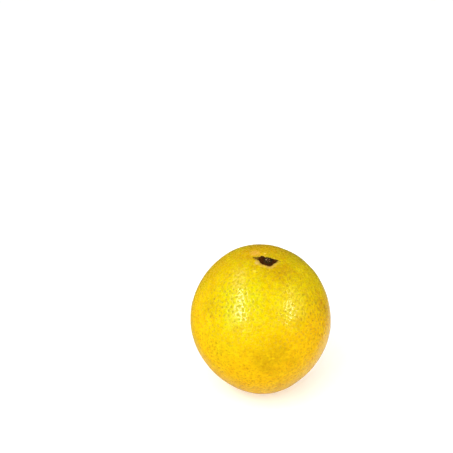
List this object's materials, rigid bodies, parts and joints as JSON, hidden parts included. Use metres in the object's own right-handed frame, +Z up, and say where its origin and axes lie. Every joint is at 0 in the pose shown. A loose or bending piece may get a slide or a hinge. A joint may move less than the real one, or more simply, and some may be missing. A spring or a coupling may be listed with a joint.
{
  "type": "orange",
  "caption": "Whole ripe orange in dimpled peel, slightly taller than wide, with a dried star-shaped calyx in a shallow dip on top; rests on a small flat spot.",
  "frame": {"origin": "on the flat spot that the fruit rests on, under the middle of the fruit's bounding box", "axes": "+Z up, close to the stem's axis; -Y towards the viewer of the front; +X to the viewer's right"},
  "size_m": [0.0748, 0.0746, 0.081],
  "materials": {
    "peel": "waxy citrus peel, yellow to orange with a green tint at the stem end, pitted with oil glands",
    "dried_calyx": "dry, dark brown, wrinkled sepals round a cut stalk"
  },
  "bodies": {
    "root": {"fruit": "peel", "calyx": "dried_calyx"}
  },
  "joints": []
}
